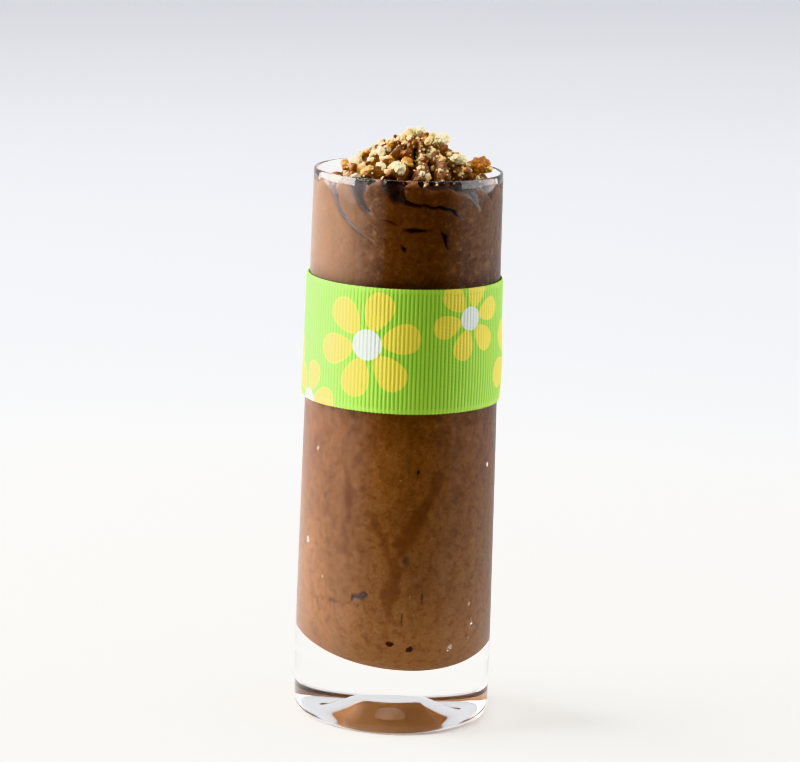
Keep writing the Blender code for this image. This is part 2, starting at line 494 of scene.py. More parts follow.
def near_lines(lines, around, up):
    """How near each point is to lines drawn on the wall, and the half width of the nearest one.

    A line runs through points given as a bearing in degrees, a height and a half width in mm, and its half
    width runs evenly between two of them. The nearness is 1 minus the squared share of the half width.
    """
    near = np.zeros(around.shape)
    widest = np.zeros(around.shape)
    for line in lines:
        for (a0, u0, w0), (a1, u1, w1) in zip(line, line[1:]):
            x = np.radians((around - a0 + 180) % 360 - 180) * MID_RADIUS_MM
            y = up - u0
            run, climb = math.radians(a1 - a0) * MID_RADIUS_MM, u1 - u0
            t = np.clip((x * run + y * climb) / (run * run + climb * climb), 0, 1)
            width = np.maximum(w0 + (w1 - w0) * t, 0.02)
            share = 1 - ((x - run * t) ** 2 + (y - climb * t) ** 2) / width ** 2
            better = np.clip(share, 0, 1) * width > near * widest
            near = np.where(better, np.clip(share, 0, 1), near)
            widest = np.where(better, width, widest)
    return near, widest


def hollow(bearing, height, at_bearing, at_height, wide, tall, lean):
    """One oval hollow at the wall, 1 at its middle: the root of 1 minus the distance squared."""
    along = ((bearing - at_bearing + math.pi) % TURN - math.pi) * (BASE_RADIUS - WALL)
    up = height - at_height
    across = along * math.cos(lean) + up * math.sin(lean)
    over = up * math.cos(lean) - along * math.sin(lean)
    far = (across / wide) ** 2 + (over / tall) ** 2
    return np.sqrt(np.clip(1 - far, 0, 1))


def all_hollows():
    """The hollows named above, then small ones scattered round the rest of the glass."""
    rng = np.random.default_rng(5)
    spots = [(math.radians(at), up * MM, wide * MM, tall * MM, math.radians(lean), tone)
             for at, up, wide, tall, lean, tone in HOLLOWS]
    for _ in range(46):
        at, up = rng.uniform(-math.pi, math.pi), rng.uniform(FLOOR + 5 * MM, RIBBON_FOOT)
        wide = MM * rng.choice((0.14, 0.18, 0.25, 0.35, 0.8), p=(0.4, 0.25, 0.2, 0.1, 0.05))
        # Tone of a small hollow: painted shade below 0, a painted glint above 0.
        tone = rng.choice((-1.0, -0.6, -0.3, 0.5))
        if abs(at) > math.radians(SLIT_FRONT) or wide < 0.2 * MM:
            spots.append((at, up, wide, wide * rng.uniform(0.7, 1.5), rng.uniform(-0.5, 0.5), tone))
    return spots


def build_filling(colours):
    """Body of the filling: it lines the bowl and the wall and reaches just into the glass.

    Streaks are darker in tone, and hollows dent it and carry painted shade when dark and a painted glint
    when light. The blackest hollows are painted shade only, with no dent.
    """
    bend = np.linspace(0.03, math.pi / 2, 66)
    reach = inner_radius(FLOOR + BOWL) + INTO_WALL
    radius = [reach * np.sin(bend) ** FULLNESS]
    height = [FLOOR - INTO_WALL + (BOWL + INTO_WALL) * (1 - np.cos(bend) ** FULLNESS)]
    climb = np.linspace(FLOOR + BOWL, RIBBON_FOOT + 1 * MM, 128)[1:]
    climb = np.concatenate([climb, np.linspace(RIBBON_FOOT + 3 * MM, FILLING_TOP, 4)])
    radius.append(inner_radius(climb) + INTO_WALL)
    height.append(climb)
    radius = np.concatenate(radius)[:, None]
    height = np.concatenate(height)[:, None]
    angle = np.linspace(0, TURN, MOUSSE_COLUMNS, endpoint=False)[None, :]
    bearing = angle + math.pi / 2
    dent = np.zeros((len(radius), angle.size))
    warp = round_grid(NOISE_RADIUS, height, angle)
    around = np.degrees(bearing) + 2.5 * cloud(warp, 2.5 * MM, 27) + 1.2 * cloud(warp, 0.9 * MM, 28)
    near, width = near_lines(STREAKS, around, height / MM + 0.5 * cloud(warp, 2.0 * MM, 29))
    tone = -0.32 * smooth_step(0, 1, near) * np.minimum(1, 0.25 + 0.35 * width)
    for at, up, wide, tall, lean, shade in all_hollows():
        dip = hollow(bearing, height, at, up, wide, tall, lean)
        dent = np.maximum(dent, dip * (INTO_WALL * 1.2 + 0.8 * min(wide, tall)) * (shade > -1))
        # A hollow's tone is painted shade below 0 and a painted glint above 0.
        tone = np.where(dip > 0, shade * np.minimum(1, 2.5 * dip), tone)
    grid = round_grid(radius - dent, height, angle)
    grid[..., 2] -= bowl_fall(grid[..., 0], height)
    filling = turned_piece("mousse_filling", grid, (0, 0, FLOOR - INTO_WALL), (0, 0, FILLING_TOP), tone)
    give(filling, mousse_finish("chocolate mousse against glass", colours, 0.02, 0.004 * MM, 0.0),
         "mousse", "mousse")


def back_slits():
    """Slits for the sides and back: one for each groove there, sweeping down to the right as in front."""
    rng = np.random.default_rng(3)
    slits = []
    for groove in range(RIDGES):
        at = (math.degrees(FIRST_GROOVE) + 360 / RIDGES * groove + 180) % 360 - 180
        if abs(at) < SLIT_FRONT:
            continue
        wide, sweep, deep = rng.uniform(1.2, 2.4), rng.uniform(8, 36), rng.uniform(5, 11)
        slits.append(tuple((at + sweep * t ** 1.7, deep * t - 0.6, wide * (1 - t) ** 1.1 + 0.15)
                           for t in (0, 0.25, 0.5, 0.75, 1)))
    return slits


def slit_depth(bearing, depth):
    """Depth of the air slits at this bearing, depth below the rim: twice the half width at their middle."""
    bearing, depth = np.broadcast_arrays(bearing, depth)
    warp = round_grid(NOISE_RADIUS, -depth, bearing)
    around = np.degrees(bearing) + 1.3 * cloud(warp, 2.2 * MM, 22)
    below = depth / MM + 0.35 * cloud(warp, 1.7 * MM, 24)
    near, width = near_lines((*AIR_SLITS, *back_slits()), around, below)
    return 2.0 * width * np.sqrt(near) * MM


def swirl_profile():
    """Radius, height and share of the way in of the swirl's outline, before its grooves.

    Straight up the wall, then over a round shoulder, then a cone whose height falls with the share of
    the radius to the power 1.3.
    """
    low = np.array([RIM - SWIRL_FOOT, 18 * MM])
    depth = np.concatenate([low, np.linspace(14.5 * MM, SHOULDER, 84)])
    beside = inner_radius(RIM - depth) + INTO_WALL
    reach = np.concatenate([np.linspace(1, CROWN_SPREAD, 9)[1:], np.linspace(CROWN_SPREAD, 0.03, 92)[1:]])
    turn = np.clip((1 - reach) / (1 - CROWN_SPREAD), 0, 1) * math.pi / 2
    rise = 0.9 * MM
    cone = (PEAK - RIM + SHOULDER - rise) * (1 - (np.minimum(reach, CROWN_SPREAD) / CROWN_SPREAD) ** 1.3)
    height = np.concatenate([RIM - depth, RIM - SHOULDER + rise * np.sin(turn) + cone])
    radius = np.concatenate([beside, beside[-1] * reach])
    return radius, height, np.concatenate([np.ones(len(beside)), reach])


def swirl_grid(sizes):
    """Points of the swirl and the tone painted on them: its outline, cut back by the slits and the grooves.

    The grooves follow the absolute sine of half the ridge count times the angle, to the power 0.6. They
    wind by the swirl turn from the wall to the peak, and their paths, widths and depths wander. Three
    sizes of lump roughen the crown, which sinks on the left, leans right at its peak and lies lower at the
    sides and back. Its tone is painted shade in the slits, in the deep grooves and in the middle at the
    wall, and painted light on the left at the wall.
    """
    radius, height, reach = (line[:, None] for line in swirl_profile())
    angle = np.linspace(0, TURN, MOUSSE_COLUMNS, endpoint=False)[None, :]
    bearing = angle + math.pi / 2
    slope = np.stack([np.gradient(radius[:, 0]), np.gradient(height[:, 0])])
    slope /= np.linalg.norm(slope, axis=0)
    out, up = slope[1][:, None], -slope[0][:, None]
    place = round_grid(radius, height, angle)
    twist = sizes.swirl_turn * (1 - reach) ** 0.9
    wander = 0.55 * cloud(place, 7 * MM, 31) * (1 - reach) + 0.25 * cloud(place, 3 * MM, 34) * (1 - reach)
    valley = 1 - np.abs(np.sin(RIDGES * (bearing - twist - FIRST_GROOVE) / 2 + wander)) ** 0.6
    fade = smooth_step(RIM - 3.5 * MM, RIM + 0.3 * MM, height) * smooth_step(0.03, 0.40, reach)
    groove = sizes.groove_depth * fade * (1 + 0.45 * cloud(place, 6 * MM, 32)) * valley
    slit = slit_depth(bearing, RIM - height) * (1 - smooth_step(RIM - 0.2 * MM, RIM + 0.8 * MM, height))
    lumps = (0.9 * cloud(place, 4.5 * MM, 33) + 0.6 * cloud(place, 1.7 * MM, 35)
             + 0.3 * cloud(place, 0.7 * MM, 36))
    lumps = (lumps - 0.3) * MM * smooth_step(0.99, 0.8, reach)
    sink = smooth_step(0.1, 0.8, reach) * smooth_step(0.999, 0.9, reach)
    dip = LEFT_SINK * sink * smooth_step(0.2, 1.0, -np.sin(bearing + 0.25))
    deep = np.maximum(groove, slit)
    cut = deep - lumps + dip
    grid = round_grid(radius - cut * out, height - cut * up, angle)
    grid[..., 0] += PEAK_LEAN * (1 - reach) ** 3
    side = smooth_step(0.5, 0.95, 1 - np.cos(bearing))
    low = BACK_DROP * side * smooth_step(RIM - 9 * MM, RIM - 2 * MM, height) * smooth_step(0.3, 1.0, reach)
    grid[..., 2] -= low
    # Painted shade: dark in the slits and deep grooves.
    shade = smooth_step(0.12 * MM, 1.0 * MM, slit) + 0.85 * smooth_step(0.8 * MM, 3.2 * MM, groove)
    degrees = (np.degrees(bearing) + 180) % 360 - 180
    at_wall = smooth_step(0.9, 0.99, reach)
    # Painted light on the left at the wall, and painted shade in its middle.
    painted_light_left = 0.26 * smooth_step(-14, -40, degrees) * (degrees > -130) * at_wall
    painted_shade_middle = 0.3 * smooth_step(-20, -8, degrees) * smooth_step(34, 20, degrees) * at_wall
    return grid, painted_light_left - np.minimum(shade + painted_shade_middle, 1)


def build_swirl(sizes, colours):
    """Top of the filling: ridges against the wall, leaving it at the rim and winding to the peak."""
    grid, shade = swirl_grid(sizes)
    swirl = turned_piece("mousse_swirl", grid, (0, 0, SWIRL_FOOT), grid[-1].mean(0), shade)
    give(swirl, mousse_finish("piped chocolate mousse", colours, 0.2, 0.14 * MM, -0.5, 0.16),
         "mousse", "mousse")


# Crumbs.


PRESSED_IN_MM = 0.9   # how far every listed crumb is pushed into the swirl
SIZE_SHARE = 0.88     # size of those crumbs as a share of the one listed
CROWN_RADIUS_MM = 16.9

# Crumbs set one by one: to the right and to the back of the axis, lift off the swirl and size in mm, and
# tone from 0, cream, to 1, dark brown.
SPOTS = (
    (2.3, 0.2, 1.6, 3.1, 0.00), (4.3, -0.2, 2.0, 3.2, 0.03), (6.0, -0.6, 1.9, 4.6, 0.02),
    (0.4, 0.2, 1.5, 2.4, 0.04), (-1.8, -0.4, 0.8, 2.2, 0.20), (-3.3, -1.6, 0.8, 2.8, 0.06),
    (-4.6, -4.4, 0.3, 1.8, 0.15), (-5.0, -0.5, 0.8, 2.4, 0.08), (-7.1, -2.6, 0.7, 2.3, 0.04),
    (-5.8, -5.4, 0.4, 2.1, 0.06), (-4.4, -7.3, 0.5, 2.9, 0.08), (-2.6, -5.2, 0.4, 1.7, 0.12),
    (-7.6, -6.4, 0.5, 2.1, 0.06), (-5.5, -9.8, 0.4, 2.3, 0.10), (-10.5, -3.1, 1.2, 2.8, 0.12),
    (-9.7, -7.0, 0.6, 2.5, 0.30), (-8.1, -11.0, 0.5, 2.5, 0.48), (-11.9, -3.6, 1.3, 1.9, 0.08),
    (-2.4, -12.6, 0.5, 3.6, 0.05), (-1.6, -5.9, 0.4, 2.0, 0.80), (-0.4, -6.9, 0.5, 1.7, 0.50),
    (-0.3, -8.8, 0.6, 2.4, 0.42), (4.0, -6.0, 0.3, 2.2, 0.12), (2.2, -11.6, 0.4, 1.4, 0.15),
    (3.7, -12.9, 0.2, 2.0, 0.20), (7.6, -1.0, 0.7, 2.5, 0.25), (7.3, -4.8, 0.4, 1.9, 0.12),
    (9.4, -2.2, 0.7, 2.4, 0.55), (9.9, -6.6, 0.9, 3.1, 0.18), (11.4, -2.9, 1.3, 2.6, 0.22),
    (10.6, -8.6, 0.2, 1.3, 0.10), (14.3, -2.2, 4.2, 4.3, 0.80), (15.9, -3.0, 3.6, 2.1, 0.24),
    (-8.9, -3.2, 0.8, 2.8, 0.92), (12.3, -4.6, 0.4, 2.3, 0.95), (-12.9, 2.0, 2.4, 2.5, 0.50),
    (-12.4, -9.9, 0.8, 3.4, 0.03), (-14.0, -8.6, 0.9, 3.0, 0.00), (-10.7, -12.0, 0.5, 2.6, 0.06),
    (-15.2, -6.4, 0.6, 2.6, 0.02), (13.8, -9.2, 0.1, 2.0, 0.12), (14.9, -6.9, 0.2, 1.8, 0.10),
    (-4.6, 5.6, 0.8, 3.2, 0.10), (2.8, 6.4, 0.8, 3.0, 0.06), (7.4, 8.2, 0.6, 3.2, 0.35),
    (-9.0, 8.4, 0.6, 3.0, 0.08), (-2.2, 11.4, 0.6, 3.4, 0.12), (11.8, 5.2, 0.6, 2.8, 0.60),
    (4.4, 13.0, 0.4, 2.6, 0.70), (-11.4, 3.4, 0.4, 2.4, 0.85),
)


def unit_ball(detail):
    """Points and triangles of a ball of radius 1 with evenly spread points."""
    ball = bmesh.new()
    bmesh.ops.create_icosphere(ball, subdivisions=detail, radius=1.0)
    points = np.array([vert.co[:] for vert in ball.verts])
    triangles = np.array([[vert.index for vert in face.verts] for face in ball.faces])
    ball.free()
    return points, triangles


def random_ways(rng, *shape):
    """Unit vectors in all directions alike."""
    ways = rng.normal(size=(*shape, 3))
    return ways / np.linalg.norm(ways, axis=-1, keepdims=True)


def random_turns(rng, count):
    """Rotation matrices spread evenly over all directions, from random unit quaternions."""
    q = rng.normal(size=(count, 4))
    w, x, y, z = (q / np.linalg.norm(q, axis=1, keepdims=True)).T
    rows = [
        [1 - 2 * (y * y + z * z), 2 * (x * y - z * w), 2 * (x * z + y * w)],
        [2 * (x * y + z * w), 1 - 2 * (x * x + z * z), 2 * (y * z - x * w)],
        [2 * (x * z - y * w), 2 * (y * z + x * w), 1 - 2 * (x * x + y * y)],
    ]
    return np.moveaxis(np.array(rows), -1, 0)


def crumb_shapes(rng, tones, detail, knobs, breaks):
    """Broken biscuit crumbs about 1 across, and the tone of each of their points.

    Each is a ball cut by random planes where it broke, stretched by a random share along each axis, and
    covered with small round knobs in random directions. One side, towards a random direction, is browner.
    """
    ball, triangles = unit_ball(detail)
    count = len(tones)
    facing = np.einsum("vk,clk->cvl", ball, random_ways(rng, count, breaks))
    cut = rng.uniform(0.24, 0.40, (count, 1, breaks)) / np.maximum(facing, 0.05)
    radius = np.minimum(0.46, cut.min(-1))
    toward = np.einsum("vk,clk->cvl", ball, random_ways(rng, count, knobs))
    rise = smooth_step(0.82, 0.99, toward) * rng.uniform(0.3, 1.0, (count, 1, knobs))
    radius = radius + 0.13 * rise.max(-1)
    points = ball[None] * radius[..., None] * rng.uniform(0.62, 1.25, (count, 1, 3))
    apart = np.arange(count)[:, None, None] * 3.7
    rough = 0.07 * cloud(points + apart, 0.17, 41) + 0.045 * cloud(points + apart, 0.08, 42)
    points += rough[..., None] * ball[None]
    crust = np.einsum("vk,ck->cv", ball, random_ways(rng, count))
    tone = np.asarray(tones)[:, None] + rng.uniform(0, 0.35, (count, 1)) * smooth_step(-0.1, 0.5, crust)
    return np.einsum("cij,cvj->cvi", random_turns(rng, count), points), triangles, tone


def scatter_crumbs(rng, spots, sizes_mm, tones, detail, knobs=26, breaks=4):
    """Crumbs of these sizes at these spots, as one set of points and triangles with their tones."""
    shapes, triangles, tone = crumb_shapes(rng, tones, detail, knobs, breaks)
    points = shapes * (np.asarray(sizes_mm) * MM)[:, None, None] + np.asarray(spots)[:, None, :]
    count, each = points.shape[:2]
    faces = triangles[None] + (np.arange(count) * each)[:, None, None]
    return points.reshape(-1, 3), faces.reshape(-1, 3), tone.reshape(-1)


def join_crumbs(name, batches):
    """Joins batches of crumbs into one piece."""
    points, faces, tones, start = [], [], [], 0
    for batch_points, batch_faces, batch_tone in batches:
        points.append(batch_points)
        faces.append(batch_faces + start)
        tones.append(batch_tone)
        start += len(batch_points)
    return mesh_piece(name, np.concatenate(points), np.empty((0, 4)), np.concatenate(faces),
                      tone=np.concatenate(tones))


def height_on(grid, x, y):
    """Height of the swirl's nearest point to each x and y."""
    top = grid[grid[..., 2] > RIM - 6 * MM]
    near = np.argmin((top[:, None, 0] - x) ** 2 + (top[:, None, 1] - y) ** 2, axis=0)
    return top[near, 2]


def named_crumbs(rng, grid, low_tone, high_tone, low_mm, high_mm, detail):
    """The listed crumbs with a tone and a size in these ranges, standing on the swirl."""
    spots = [spot for spot in SPOTS if low_tone <= spot[4] < high_tone and low_mm <= spot[3] < high_mm]
    right, back, lift, size, tone = np.array(spots, float).T
    x, y = right * MM, back * MM
    places = np.stack([x, y, height_on(grid, x, y) + (lift - PRESSED_IN_MM) * MM], -1)
    return scatter_crumbs(rng, places, SIZE_SHARE * size, tone, detail)


def loose_crumbs(rng, grid, count, low_mm, high_mm, tones, detail, knobs=12, out=0.92, bare=0.6):
    """Random crumbs on the swirl, even over its area out to this share of its radius, small ones most.

    This share of those that would lie near the front of the rim are left out, so ridges show there.
    """
    distance = out * CROWN_RADIUS_MM * MM * np.sqrt(rng.uniform(0, 1, count))
    x_y = round_grid(distance, 0, rng.uniform(0, TURN, count))
    kept = (x_y[:, 1] > -9 * MM) | (rng.uniform(0, 1, count) > bare)
    x, y = x_y[kept, 0], x_y[kept, 1]
    size = low_mm + (high_mm - low_mm) * rng.uniform(0, 1, len(x)) ** 2
    places = np.stack([x, y, height_on(grid, x, y) + 0.22 * size * MM], -1)
    return scatter_crumbs(rng, places, size, rng.uniform(*tones, len(x)), detail, knobs)


def crumb_finish(name, colours, gloss):
    """Baked crumb: cream, golden, orange and brown in turn as its tone rises, with fine pores."""
    finish = Finish(name, Specular_IOR_Level=0.35)
    place = finish.place()
    tone = finish.tone()
    patch = finish.noise(place, 1.1 * MM, detail=4, roughness=0.65)
    grain = finish.noise(place, 0.22 * MM, detail=3, roughness=0.6)
    shade = tone + (patch - 0.5) * 0.45 + (grain - 0.5) * 0.15
    colour = finish.mix(shade.eased(0.08, 0.42), colours.crumb_cream, colours.crumb_golden)
    colour = finish.mix(shade.eased(0.38, 0.68), colour, colours.crumb_toasted)
    colour = finish.mix(shade.eased(0.66, 0.98), colour, colours.crumb_brown)
    finish.drive("Base Color", colour)
    finish.drive("Roughness", gloss + grain * 0.25)
    finish.bump(grain, 0.09 * MM)
    return finish


def build_crumbs(sizes, colours):
    """Pale and toasted crumbs in falling sizes over the swirl, and fine dust between them.

    The crumbs stand on a coarse copy of the swirl's points and the dust on a finer one.
    """
    rng = np.random.default_rng(7)
    grid, _ = swirl_grid(sizes)
    fine, coarse = grid[::2, ::2], grid[::2, ::4]
    pale = [
        named_crumbs(rng, coarse, 0, 0.4, 2.7, 9, 5),
        named_crumbs(rng, coarse, 0, 0.4, 0, 2.7, 4),
        loose_crumbs(rng, coarse, 30, 1.2, 2.2, (0.0, 0.30), 4),
        loose_crumbs(rng, coarse, 180, 0.6, 1.4, (0.0, 0.35), 3),
    ]
    toasted = [
        named_crumbs(rng, coarse, 0.4, 1, 0, 9, 5),
        loose_crumbs(rng, coarse, 24, 1.0, 2.0, (0.35, 0.9), 4),
        loose_crumbs(rng, coarse, 70, 0.5, 1.2, (0.35, 1.0), 3),
        loose_crumbs(rng, coarse, 110, 0.8, 2.4, (1.0, 1.2), 3),
    ]
    dust = [
        loose_crumbs(rng, fine, 520, 0.45, 1.0, (0.0, 0.40), 2, 5, 0.92, 0.75),
        loose_crumbs(rng, fine, 1000, 0.3, 0.65, (0.0, 0.35), 2, 5, 0.95),
        loose_crumbs(rng, fine, 3000, 0.12, 0.3, (0.0, 0.25), 1, 3, 0.97),
    ]
    for name, batches, slot, gloss in (
        ("pale_crumbs", pale, "pale_crumb", 0.55),
        ("toasted_crumbs", toasted, "toasted_crumb", 0.35),
        ("crumb_dust", dust, "pale_crumb", 0.65),
    ):
        give(join_crumbs(name, batches), crumb_finish(name.replace("_", " "), colours, gloss), slot)


# Ribbon.


RIBBON_LAP = 12 * MM
SELVEDGE = 1.15 * MM
RIB_DEPTH = 0.10 * MM
LAP_GAP = 0.1 * MM
SCALLOP = 0.09 * MM
SWAY = 0.12 * MM
PRINT_REPEAT = 72.0
DAISIES_MM = (   # along the ribbon from its front middle, up from its lower edge, radius, turn in degrees
    (-23.3, -0.2, 8.7, 12),
    (-7.3, 13.5, 11.0, 12),
    (14.7, 18.9, 8.6, 14),
    (33.6, 7.8, 11.0, 10),
)


def rib_relief(along, up, pitch):
    """Height of the weave, 0 to 1: round ribs with grooves between, ending in a finely beaded selvedge."""
    rib = np.abs(np.cos(math.pi * along / pitch))
    inner = np.minimum(up, RIBBON_WIDTH - up)
    field = 0.45 + 0.55 * smooth_step(0.6 * SELVEDGE, 1.1 * SELVEDGE, inner)
    rows = 0.6 + 0.4 * np.cos(TURN * inner / (0.6 * MM))
    beads = 0.62 + 0.25 * np.abs(np.cos(TURN * along / pitch)) * rows
    return rib * field + beads * (1 - field)


def stand_off(bearing, up):
    """How far the ribbon stands off the glass: close in front, a little loose low down at both sides."""
    low = 1 - up / RIBBON_WIDTH
    left = smooth_step(0.3, 1.0, -np.sin(bearing)) * (0.05 + 0.10 * low)
    right = smooth_step(0.3, 1.0, np.sin(bearing)) * 0.3 * np.exp(-((low - 0.72) / 0.22) ** 2)
    return (0.05 + left + right) * MM


def build_ribbon(sizes, colours):
    """Strip wound once round the glass and lapped at the back, ribbed across its width.

    A closed sheet: the outer face carries the ribs, the inner face lies on the glass.
    """
    pitch = sizes.rib_pitch
    thick = sizes.ribbon_thickness
    middle_radius = outer_radius(RIBBON_FOOT + RIBBON_WIDTH / 2) + 0.3 * MM + thick / 2
    length = TURN * middle_radius + RIBBON_LAP
    columns = int(length / pitch * 6)
    edge = np.array([0.0, 0.05, 0.13, 0.22, 0.32, 0.44, 0.56, 0.68, 0.8, 0.92, 1.04, 1.16, 1.5])
    up = np.concatenate([edge * SELVEDGE, np.linspace(3 * MM, RIBBON_WIDTH - 3 * MM, 14),
                         RIBBON_WIDTH - edge[::-1] * SELVEDGE])[:, None]
    along = np.linspace(-length / 2, length / 2, columns)[None, :]
    bearing = along / middle_radius
    angle = bearing - math.pi / 2
    lap = RIBBON_LAP / middle_radius
    wound = bearing + math.pi + lap / 2
    climb = smooth_step(TURN - lap, TURN, wound)
    inner_edge = np.minimum(up, RIBBON_WIDTH - up)
    near_edge = 1 - smooth_step(0, 0.5 * SELVEDGE, inner_edge)
    scallop = SCALLOP * np.abs(np.cos(math.pi * along / pitch)) * np.where(up < RIBBON_WIDTH / 2, -1, 1)
    place = round_grid(0.02, up, angle)
    sway = SWAY * cloud(place * (1, 1, 0.4), 14 * MM, 52)
    height = RIBBON_FOOT + up + scallop * near_edge + sway
    loose = stand_off(bearing, up) + 0.08 * MM * (1 + cloud(place, 11 * MM, 51))
    base = outer_radius(height) + loose + climb * (thick + LAP_GAP)
    roll = 0.5 * thick * near_edge ** 2
    outer = base + thick - roll * 0.8 - RIB_DEPTH * (1 - rib_relief(along, up, pitch))
    inner = base + roll * 0.2
    skins = [round_grid(face, height, angle) for face in (outer, inner)]
    rows = len(up)
    faces = grid_faces(rows, columns, wrap=False)
    back = faces[:, ::-1] + rows * columns
    first = np.concatenate([np.arange(columns), (np.arange(1, rows) + 1) * columns - 1,
                            (rows - 1) * columns + np.arange(columns - 1)[::-1],
                            np.arange(rows - 2, 0, -1) * columns])
    after = np.roll(first, -1)
    rim = np.stack([after, first, first + rows * columns, after + rows * columns], -1)
    uv = np.stack(np.broadcast_arrays(along / 0.1, up / 0.1), -1)
    ribbon = mesh_piece("grosgrain_ribbon", np.concatenate([s.reshape(-1, 3) for s in skins]),
                        np.concatenate([faces, back, rim]), uv=np.concatenate([uv, uv]))
    give(ribbon, ribbon_finish(colours, pitch), "ribbon", "ribbon")


def daisy(finish, along, up, radius, turn):
    """Petal and centre masks of one daisy: six egg-shaped petals round a disc, lengths in mm."""
    far = (along * along + up * up).root()
    angle = finish.node("ShaderNodeMath", {"operation": "ARCTAN2"}, {0: up, 1: along})
    folded = (angle - math.radians(turn)).wrapped(math.pi / 3)
    out = far * folded.cosine() / radius
    side = far * folded.sine() / radius
    lengthwise = (out - 0.645) / 0.365
    widthwise = side / ((lengthwise * 0.28 + 1.0) * 0.268)
    petal = (lengthwise * lengthwise + widthwise * widthwise).eased(1.06, 0.94)
    disc = (far / radius).eased(0.292, 0.276)
    return petal, disc


def ribbon_finish(colours, pitch):
    """Green weave printed with yellow and white daisies, painted shade in grooves and holes, fine warp
    threads.
    """
    finish = Finish("printed grosgrain", Specular_IOR_Level=0.25, Sheen_Weight=0.1, Sheen_Roughness=0.5)
    cloth = finish.node("ShaderNodeUVMap", {"uv_map": "cloth"})
    along, up, _ = finish.parts(cloth)
    along = along * 100.0
    up = up * 100.0
    petals, discs = None, None
    for at, rise, radius, turn in DAISIES_MM:
        petal, disc = daisy(finish, (along - at).wrapped(PRINT_REPEAT), up - rise, radius, turn)
        petals = petal if petals is None else petals.most(petal)
        discs = disc if discs is None else discs.most(disc)
    edge = SELVEDGE / MM
    rib = (along * (math.pi / (pitch / MM))).cosine().size()
    inner = up.least(RIBBON_WIDTH / MM - up)
    field = inner.eased(0.6 * edge, 1.1 * edge) * 0.55 + 0.45
    stitch = inner.eased(0.7 * edge, 0.95 * edge) * inner.eased(1.25 * edge, 1.0 * edge)
    beads = (along * (TURN / (pitch / MM))).cosine().size().eased(0.6, 0.0) * (1 - field)
    # Painted shade in the grooves between the ribs and between the selvedge's beads.
    groove = rib.eased(0.85, 0.0) * field + beads * 0.35
    # Painted shade in the selvedge's stitch holes.
    stitch_hole_shade = rib.eased(0.45, 0.1) * stitch
    green = finish.mix(groove, colours.ribbon_green, colours.ribbon_groove_shade)
    yellow = finish.mix(groove * 0.6, colours.petal, colours.petal_groove_shade)
    colour = finish.mix(petals, green, yellow)
    white = finish.mix(groove * 0.7, colours.daisy_white, colours.white_groove_shade)
    colour = finish.mix(discs, colour, white)
    colour = finish.mix(stitch_hole_shade * 0.6, colour, colours.ribbon_groove_shade)
    finish.drive("Base Color", colour)
    threads = (up * (TURN / 0.28)).sine() * 0.5 + 0.5
    finish.drive("Roughness", 0.55 + groove * 0.25)
    finish.bump(threads, 0.02 * MM)
    return finish


# Stage.


# Soft light and shade round the glass: distance in metres, then how the radiance runs with the bearing in
# degrees to the right of the front, and what is added to it at each height in metres.
PANELS = (
    ("low near screen", 0.11,
     ((-34, 0.6), (-24, 0.22), (-14, 0.03), (24, 0.02), (36, 0.15), (44, 0.42), (58, 0.45)),
     ((0.012, 0.38), (0.022, 0.2), (0.035, 0.05), (0.05, 0.0))),
    ("near screen", 0.11,
     ((-34, 0.9), (-23.7, 0.5), (-23, 0.0), (39.5, 0.0), (40.2, 0.1), (50, 0.35), (62, 0.45)),
     ((0.05, 0.0), (0.24, 0.0))),
    ("window panel", 0.9, ((-128, 13.0), (-66, 13.0)), ((0.02, 0), (1.1, 0))),
    ("far right panel", 0.9, ((66, 3.4), (125, 3.4)), ((0.02, 0), (1.0, 0))),
)
# What the glass's gloss shows instead of the bright floor: radiance by bearing, near and far.
GLOSS = ((-172, 0.6), (-130, 1.2), (-110, 1.5), (-60, 1.5), (-46, 1.1), (-36, 0.8), (-24, 0.6),
         (-10, 0.5), (26, 0.5), (40, 0.55), (60, 0.9), (110, 0.9), (135, 0.6), (172, 0.45))
FAR_GLOSS = ((-178, 0.8), (-140, 1.3), (-88, 1.8), (-74, 1.6), (-62, 0.9))


def build_stage(colours):
    """Pale floor out to the horizon, tall soft light panels round the glass, and the camera."""
    ring = np.concatenate([np.linspace(0.004, 0.4, 60), np.linspace(0.45, 6.0, 60)])[::-1, None]
    angle = np.linspace(0, TURN, 128, endpoint=False)[None, :]
    grid = round_grid(ring, -0.1 * MM, angle)
    floor = mesh_piece("floor", grid, grid_faces(*grid.shape[:2]))
    finish = Finish("pale matt paper", Roughness=0.7, Specular_IOR_Level=0.2)
    far = finish.node("ShaderNodeVectorMath", {"operation": "LENGTH"}, {0: finish.place()}, output="Value")
    finish.drive("Base Color", finish.mix(far.eased(0.06, 0.5), colours.floor_near, colours.floor_far))
    floor.data.materials.append(finish.material)
    for name, distance, shine, rise in PANELS:
        height, extra = np.array(rise, float).T
        light_panel(name, np.full(len(height), distance), height, shine, extra)
    for name, near, height, shine in (("gloss card", 0.022, 0.4 * MM, GLOSS),
                                      ("far gloss card", 0.33, 0.6 * MM, FAR_GLOSS)):
        card = light_panel(name, np.array([0.9, 0.4, near]), np.full(3, height), shine)
        card.visible_diffuse = card.visible_transmission = card.visible_shadow = False
    light_panel("top panel", np.array([0.005, 0.5]), np.ones(2), ((-180, 1.3), (180, 1.3)))
    world = bpy.data.worlds.new("pale room")
    world.use_nodes = True
    world.node_tree.nodes["Background"].inputs["Color"].default_value = (0.96, 0.97, 1.0, 1.0)
    world.node_tree.nodes["Background"].inputs["Strength"].default_value = 0.85
    bpy.context.scene.world = world
    bpy.context.scene.view_settings.view_transform = "Khronos PBR Neutral"
    place_camera()


